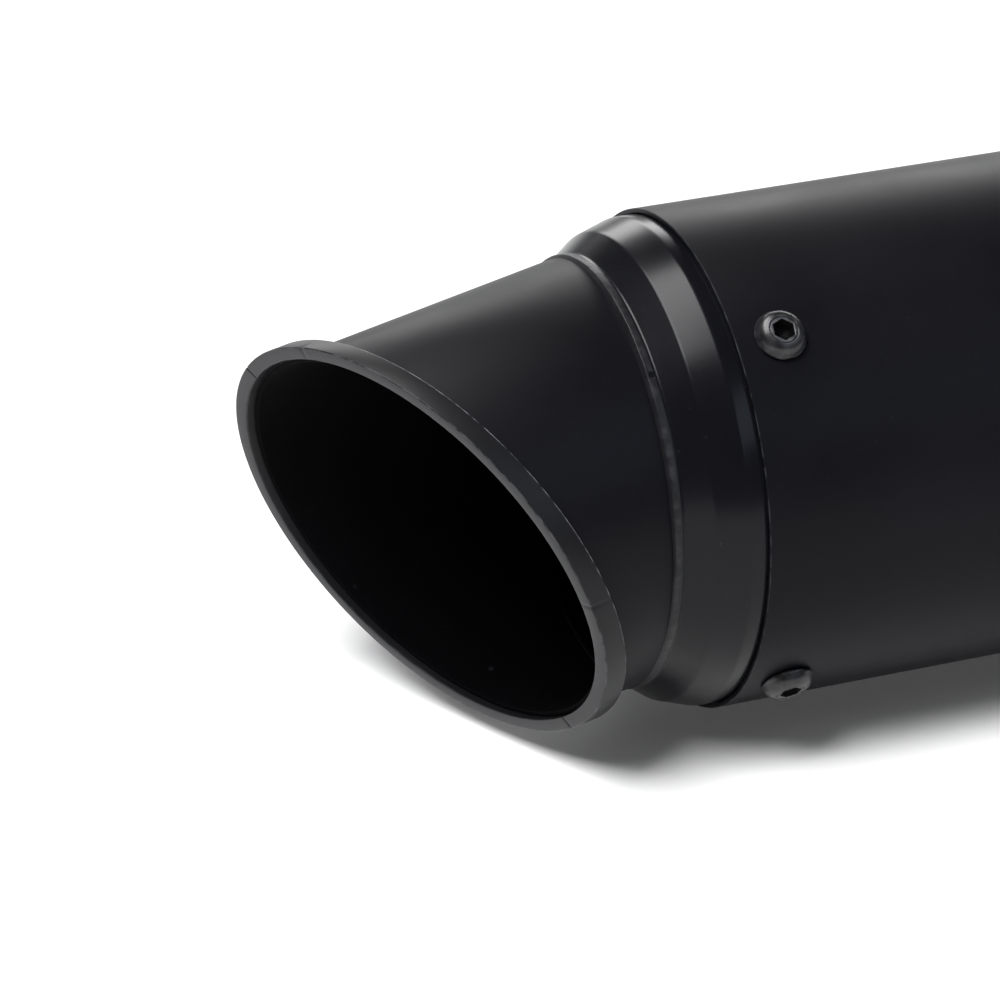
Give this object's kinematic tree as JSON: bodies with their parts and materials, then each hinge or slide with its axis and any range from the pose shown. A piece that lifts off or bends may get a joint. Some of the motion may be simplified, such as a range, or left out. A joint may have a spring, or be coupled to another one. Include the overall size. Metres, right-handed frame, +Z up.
{
  "type": "exhaust muffler",
  "caption": "Round black slip-on motorcycle muffler with a drooping slash-cut outlet, clamped slotted inlet pipe and a hanger strap that slides and turns on the can.",
  "frame": {"origin": "middle of the footprint, on the surface that the muffler lies on", "axes": "+X along the can from the outlet to the inlet, +Z up as the muffler lies on its hanger strap"},
  "size_m": [0.3732, 0.1256, 0.1078],
  "materials": {
    "sleeve_black": "smooth matte black paint with a soft sheen",
    "cap_black": "satin black paint",
    "tip_black": "fine-grained matte black paint",
    "weld": "dressed weld under satin black paint",
    "screw_black": "black-oxide steel, satin",
    "strap_black": "satin black powder coat",
    "bare_steel": "plain stainless steel",
    "pipe_steel": "brushed stainless steel",
    "liner_rubber": "matte black rubber",
    "glass_wool": "wound glass wool"
  },
  "bodies": {
    "can": {"sleeve": "sleeve_black", "outlet_cap": "cap_black", "tip_weld": "weld", "outlet_tip": "tip_black", "tip_band": "tip_black", "outlet_plate": "bare_steel", "inlet_cap": "cap_black", "inlet_pipe": "pipe_steel", "inlet_weld": "weld", "core_tube": "bare_steel", "packing": "glass_wool", "outlet_screw_1": "screw_black", "outlet_screw_2": "screw_black", "outlet_screw_3": "screw_black", "outlet_screw_4": "screw_black", "outlet_nut_1": "bare_steel", "outlet_nut_2": "bare_steel", "outlet_nut_3": "bare_steel", "outlet_nut_4": "bare_steel", "inlet_screw_1": "screw_black", "inlet_screw_2": "screw_black", "inlet_screw_3": "screw_black", "inlet_screw_4": "screw_black", "inlet_nut_1": "bare_steel", "inlet_nut_2": "bare_steel", "inlet_nut_3": "bare_steel", "inlet_nut_4": "bare_steel"},
    "liner": {"hanger_liner": "liner_rubber"},
    "hanger": {"hanger_strap": "strap_black", "hanger_tab": "strap_black", "hanger_washer_1": "bare_steel", "hanger_washer_2": "bare_steel", "hanger_bolt": "screw_black", "hanger_nut": "bare_steel"},
    "inlet_band": {"inlet_clamp": "bare_steel", "inlet_clamp_bolt": "screw_black", "inlet_clamp_nut": "bare_steel"}
  },
  "joints": [
    {"name": "hanger_slide", "type": "slide", "parent": "can", "child": "liner", "axis": [1, 0, 0], "range_m": [-0.118, 0.038]},
    {"name": "hanger_turn", "type": "hinge", "parent": "liner", "child": "hanger", "pos_m": [0.04443, -0.00899, 0.0539], "axis": [1, 0, 0], "continuous": true},
    {"name": "clamp_turn", "type": "hinge", "parent": "can", "child": "inlet_band", "pos_m": [0.17458, -0.00899, 0.0539], "axis": [1, 0, 0], "continuous": true}
  ]
}
